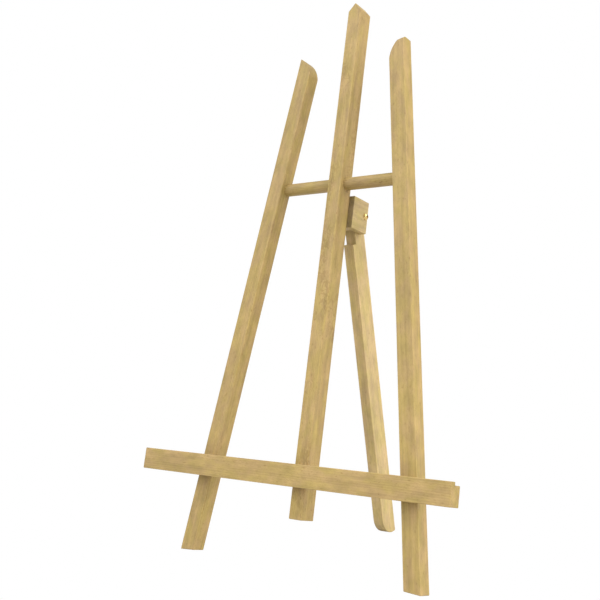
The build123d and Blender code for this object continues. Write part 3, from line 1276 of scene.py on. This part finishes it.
@dataclass
class HingeBlock(Piece):
    """The fork on the post's back: a web that is screwed on, and two cheeks that hold the pivot."""

    name: str = "hinge_fork"
    node: str = "hinge_block"
    hand: float = 0.83
    timber: float = 8.6
    tint: float = 0.97
    width: float = BLOCK_WIDTH
    depth: float = 31 * MM
    height: float = 39 * MM
    top: float = -12 * MM
    web: float = 12 * MM
    slot_width: float = 14.8 * MM
    screw_length: float = 26 * MM
    screw_spacing: float = 24 * MM
    pivot_diameter: float = 4 * MM
    pivot_length: float = 28 * MM

    def screw_cutters(self, bench: Bench) -> list[tuple[Shell, Placement]]:
        """The holes of the two screws through the web into the post."""
        middle = self.top - self.height / 2
        back = POST_DEPTH + self.web
        return [
            (screw_hole(self.screw_length), bench.face.inside(DRIVEN_FORWARD, (0, back, middle + step)))
            for step in (-self.screw_spacing / 2, self.screw_spacing / 2)
        ]

    def build(self, bench: Bench) -> bpy.types.Object:
        """Build the fork as a U-shaped outline run along its height, and bore it.

        It is cut from the board with its grain from front to back, so the cheeks are strong
        where they hold the pivot, and the web and the cheeks' ends show end grain. That end grain
        is darkened far past real end grain, as painted shade for the shadow that the post casts on
        the fork's front.

        Args:
            bench: the easel's places.

        Returns:
            The finished piece.
        """
        half, slot = self.width / 2, self.slot_width / 2
        front, floor, back = -self.depth / 2, self.web - self.depth / 2, self.depth / 2
        corners = [
            Corner(-half, front, EASING), Corner(half, front, EASING), Corner(half, back, EASING),
            Corner(slot, back, EASING), Corner(slot, floor, EASING), Corner(-slot, floor, EASING),
            Corner(-slot, back, EASING), Corner(-half, back, EASING),
        ]
        outline = rounded_outline(corners, spacing=3 * MM)
        ends = (-self.height / 2, self.height / 2)
        shell = eased_board(outline, ends, EASING, Plane.END, self.hand, rows=8)
        centre = (0, POST_DEPTH + self.depth / 2, self.top - self.height / 2)
        placement = bench.face.inside(np.eye(3), centre)
        obj = mesh_object(self.name, shell, placement)
        blind_end, outer_end = half - self.pivot_length, half + OVERCUT
        bore = bench.face.inside(LYING_ALONG_X, ((blind_end + outer_end) / 2, *bench.pivot_in_face))
        drill(obj, [*self.screw_cutters(bench), (rod(self.pivot_diameter, outer_end - blind_end), bore)])
        # Grain front to back puts the fork's dark end grain on its front: painted shade for the post's shadow.
        along_depth = placement.inside(turn_x(90), (0, 0, 0))
        section = (half, self.height / 2)
        material = FORK_BEECH.material("beech of the fork", along_depth, section, self.timber, self.tint)
        return self.finish(obj, material, FORK_BEECH.slot)


@dataclass
class RearLeg(Piece):
    """The rear leg: rebated to clear the web, bevelled at its top, with a round toe."""

    name: str = "prop_leg"
    node: str = "rear_leg"
    body: str = "rear_leg"
    hand: float = 0.12
    timber: float = 2.3
    width: float = 14 * MM
    depth: float = 26 * MM
    front_to_pivot: float = 19 * MM
    above_pivot: float = 18 * MM
    rebate: float = 6 * MM
    rebate_below_pivot: float = 31 * MM
    top_radius: float = 8 * MM
    toe_front_radius: float = 22 * MM
    toe_back_radius: float = 2 * MM
    pivot_to_web: float = 14.2 * MM
    stop_gap: float = 0.3 * MM
    pivot_bore: float = 4.12 * MM

    def build(self, bench: Bench) -> bpy.types.Object:
        """Build the leg as its side outline run across its width.

        The bevel lies on the web's plane, less the stop's gap, when the leg is open, and the
        toe touches the floor.

        Args:
            bench: the easel's places.

        Returns:
            The finished piece.
        """
        front = -self.front_to_pivot
        back = front + self.depth
        rebate = front + self.rebate
        slope = radians(OPEN_ANGLE)
        to_web = self.pivot_to_web - self.stop_gap
        bevel_z = (to_web + rebate * cos(slope)) / sin(slope)
        bevel_y = (self.above_pivot * sin(slope) - to_web) / cos(slope)
        up = bench.pivot.turn[2, 2]
        back_sine = bench.pivot.turn[2, 1]
        toe_y = self.toe_front_radius + front
        toe_z = (self.toe_front_radius - bench.pivot.shift[2] - toe_y * back_sine) / up
        bottom = toe_z - self.toe_front_radius
        corners = [
            Corner(front, bottom, self.toe_front_radius), Corner(back, bottom, self.toe_back_radius),
            Corner(back, self.above_pivot, self.top_radius), Corner(bevel_y, self.above_pivot, EASING),
            Corner(rebate, bevel_z, EASING), Corner(rebate, -self.rebate_below_pivot, EASING),
            Corner(front, -self.rebate_below_pivot, EASING),
        ]
        outline = rounded_outline(corners, spacing=5 * MM, step=radians(7))
        shell = eased_board(outline, (-self.width / 2, self.width / 2), EASING, Plane.SIDE, self.hand)
        obj = mesh_object(self.name, shell, bench.pivot)
        bore = bench.pivot.inside(LYING_ALONG_X, (0, 0, 0))
        drill(obj, [(rod(self.pivot_bore, 2 * self.width), bore)])
        middle = bench.pivot.inside(np.eye(3), (0, (front + back) / 2, 0))
        half = (self.width / 2, self.depth / 2)
        material = PALE_BEECH.material("beech of the rear leg", middle, half, self.timber, self.tint)
        return self.finish(obj, material, PALE_BEECH.slot)


class Fasteners:
    """The easel's screws, which keep their nodes' own shapes and get their finish here."""

    def dress_all(self, bench: Bench) -> None:
        """Dress the pivot screw in brass and the wood screws in plated steel.

        Args:
            bench: the easel's places.
        """
        head = bench.face.inside(LYING_ALONG_X, (BLOCK_WIDTH / 2, *bench.pivot_in_face))
        self.dress_node("pivot_screw", BRASS.material("brass", head, 0.4), BRASS.slot)
        plated = ZINC.material("plated steel", bench.face.inside(DRIVEN_FORWARD, (0, 0, 0)), 1.3)
        for node in ("ledge_screws", "hinge_block_screws"):
            self.dress_node(node, plated, ZINC.slot)

    def dress_node(self, node: str, material: bpy.types.Material, slot: str) -> None:
        """Dress one node and log it."""
        obj = frame["nodes"][node]
        dress(obj, material)
        LOG.info("%s: dressed in %s", node, slot)


# ---------------------------------------------------------------------------------------------
# The studio
# ---------------------------------------------------------------------------------------------
@dataclass(frozen=True)
class Softlight:
    """A broad, far light, as even over the floor as over the easel.

    Attributes:
        name: its name.
        azimuth: degrees round from the front, towards the right.
        elevation: degrees above level.
        spread: the angle that it fills as seen from the easel, in degrees, which softens shadows.
        strength: brightness that it gives a white face turned to it.
        colour: linear colour.
    """

    name: str
    azimuth: float
    elevation: float
    spread: float
    strength: float
    colour: tuple[float, float, float] = (1.0, 1.0, 1.0)

    def hang(self) -> None:
        """Add the light, aimed along its own azimuth and elevation."""
        lamp = bpy.data.lights.new(self.name, "SUN")
        lamp.angle = radians(self.spread)
        lamp.energy = self.strength * pi
        lamp.color = self.colour
        obj = bpy.data.objects.new(self.name, lamp)
        obj.rotation_euler = (pi / 2 - radians(self.elevation), 0, radians(self.azimuth))
        bpy.context.scene.collection.objects.link(obj)


@dataclass(frozen=True)
class Studio:
    """A floor and a backdrop that look pure white, soft light and the camera.

    Attributes:
        station: the camera's place in the frame, in metres.
        turn: degrees that it is turned to the left of straight ahead.
        tilt: degrees that it looks down.
        roll: degrees that it is rolled.
        lens: focal length for a 36 mm frame.
        shift: the lens's shift across and up, as shares of the frame.
        ambient: strength of the light from all round.
        lights: the soft lights.
    """

    station: tuple[float, float, float] = (0.6408, -0.8948, 0.3176)
    turn: float = 36.745
    tilt: float = 0.986
    roll: float = -2.058
    lens: float = 56.0
    shift: tuple[float, float] = (-0.0315, -0.0033)
    ambient: float = 0.38
    lights: tuple[Softlight, ...] = (
        Softlight("key", azimuth=-30, elevation=50, spread=75, strength=0.80),
        Softlight("fill", azimuth=92, elevation=26, spread=60, strength=0.94),
        Softlight("back", azimuth=165, elevation=58, spread=50, strength=0.25),
    )

    def camera(self) -> None:
        """Set up the camera."""
        lens = bpy.data.cameras.new("camera")
        lens.lens = self.lens
        lens.shift_x, lens.shift_y = self.shift
        obj = bpy.data.objects.new("camera", lens)
        aim = Matrix.Translation(self.station)
        for degrees, axis in ((self.turn, "Z"), (90 - self.tilt, "X"), (self.roll, "Z")):
            aim = aim @ Matrix.Rotation(radians(degrees), 4, axis)
        obj.matrix_world = aim
        bpy.context.scene.collection.objects.link(obj)
        bpy.context.scene.camera = obj

    def floor(self, radius: float = 9.0) -> None:
        """Lay a round floor, which looks pure white and throws back a little light.

        Points stand at even angles on rings whose radius grows as the square of their number.

        Args:
            radius: the floor's radius, in metres.
        """
        rings = np.linspace(0.02, 1, 24) ** 2 * radius
        profile = np.column_stack([rings, np.zeros_like(rings)])
        shell = turned(profile, around=72)
        shell.flats = shell.flats[:1]
        shell = shell.turned_out(True)
        obj = mesh_object("floor", shell, Placement(np.eye(3), np.zeros(3)))
        made = bpy.data.materials.new("pale floor")
        graph = Graph.fresh(made)
        place = graph.add("TexCoord").outputs["Object"]
        mottle = graph.noise(place, (2.0, 2.0, 2.0), 4.0)
        colour = graph.mix(mottle, (0.62, 0.61, 0.60), (0.58, 0.57, 0.56))
        look = {"Base Color": colour, "Roughness": 0.8, "Specular IOR Level": 0.2}
        paper = graph.add("BsdfPrincipled", look)
        glow = graph.add("Emission", {"Color": WHITE, "Strength": 1.0})
        graph.show(graph.seen_as(glow.outputs[0], paper.outputs[0]))
        dress(obj, made)

    def world(self) -> None:
        """Light the scene evenly from all round, with a white backdrop behind it."""
        world = bpy.data.worlds.new("studio")
        graph = Graph.fresh(world)
        light = graph.add("Background", {"Color": WHITE, "Strength": self.ambient})
        backdrop = graph.add("Background", {"Color": WHITE, "Strength": 1.0})
        graph.show(graph.seen_as(backdrop.outputs[0], light.outputs[0]), "World")
        bpy.context.scene.world = world

    def build(self) -> None:
        """Build the studio round the easel."""
        self.camera()
        self.floor()
        self.world()
        for light in self.lights:
            light.hang()
        bpy.context.scene.view_settings.view_transform = "Standard"
        LOG.info("studio: floor, %d lights and camera", len(self.lights))


def main() -> None:
    """Build the easel's pieces in order, then the studio."""
    logging.basicConfig(level=logging.INFO, format="%(name)s: %(message)s", stream=sys.stdout, force=True)
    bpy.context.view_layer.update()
    bench = Bench.read()
    ledge = Ledge()
    ledge.build(bench)
    left = SideLeg(name="left_side_leg", node="left_leg", side=-1, hand=1.1, timber=1.1)
    right = SideLeg(
        name="right_side_leg", node="right_leg", side=1, hand=4.4, timber=4.4,
        crown_rise=4.5 * MM, tip_corner=1.3 * MM,
    )
    left.build(bench, ledge)
    right.build(bench, ledge)
    crossbar = Crossbar()
    block = HingeBlock()
    CentrePost().build(bench, ledge, crossbar, block)
    crossbar.build(bench, right)
    block.build(bench)
    RearLeg().build(bench)
    Fasteners().dress_all(bench)
    Studio().build()


if __name__ == "__main__":
    main()
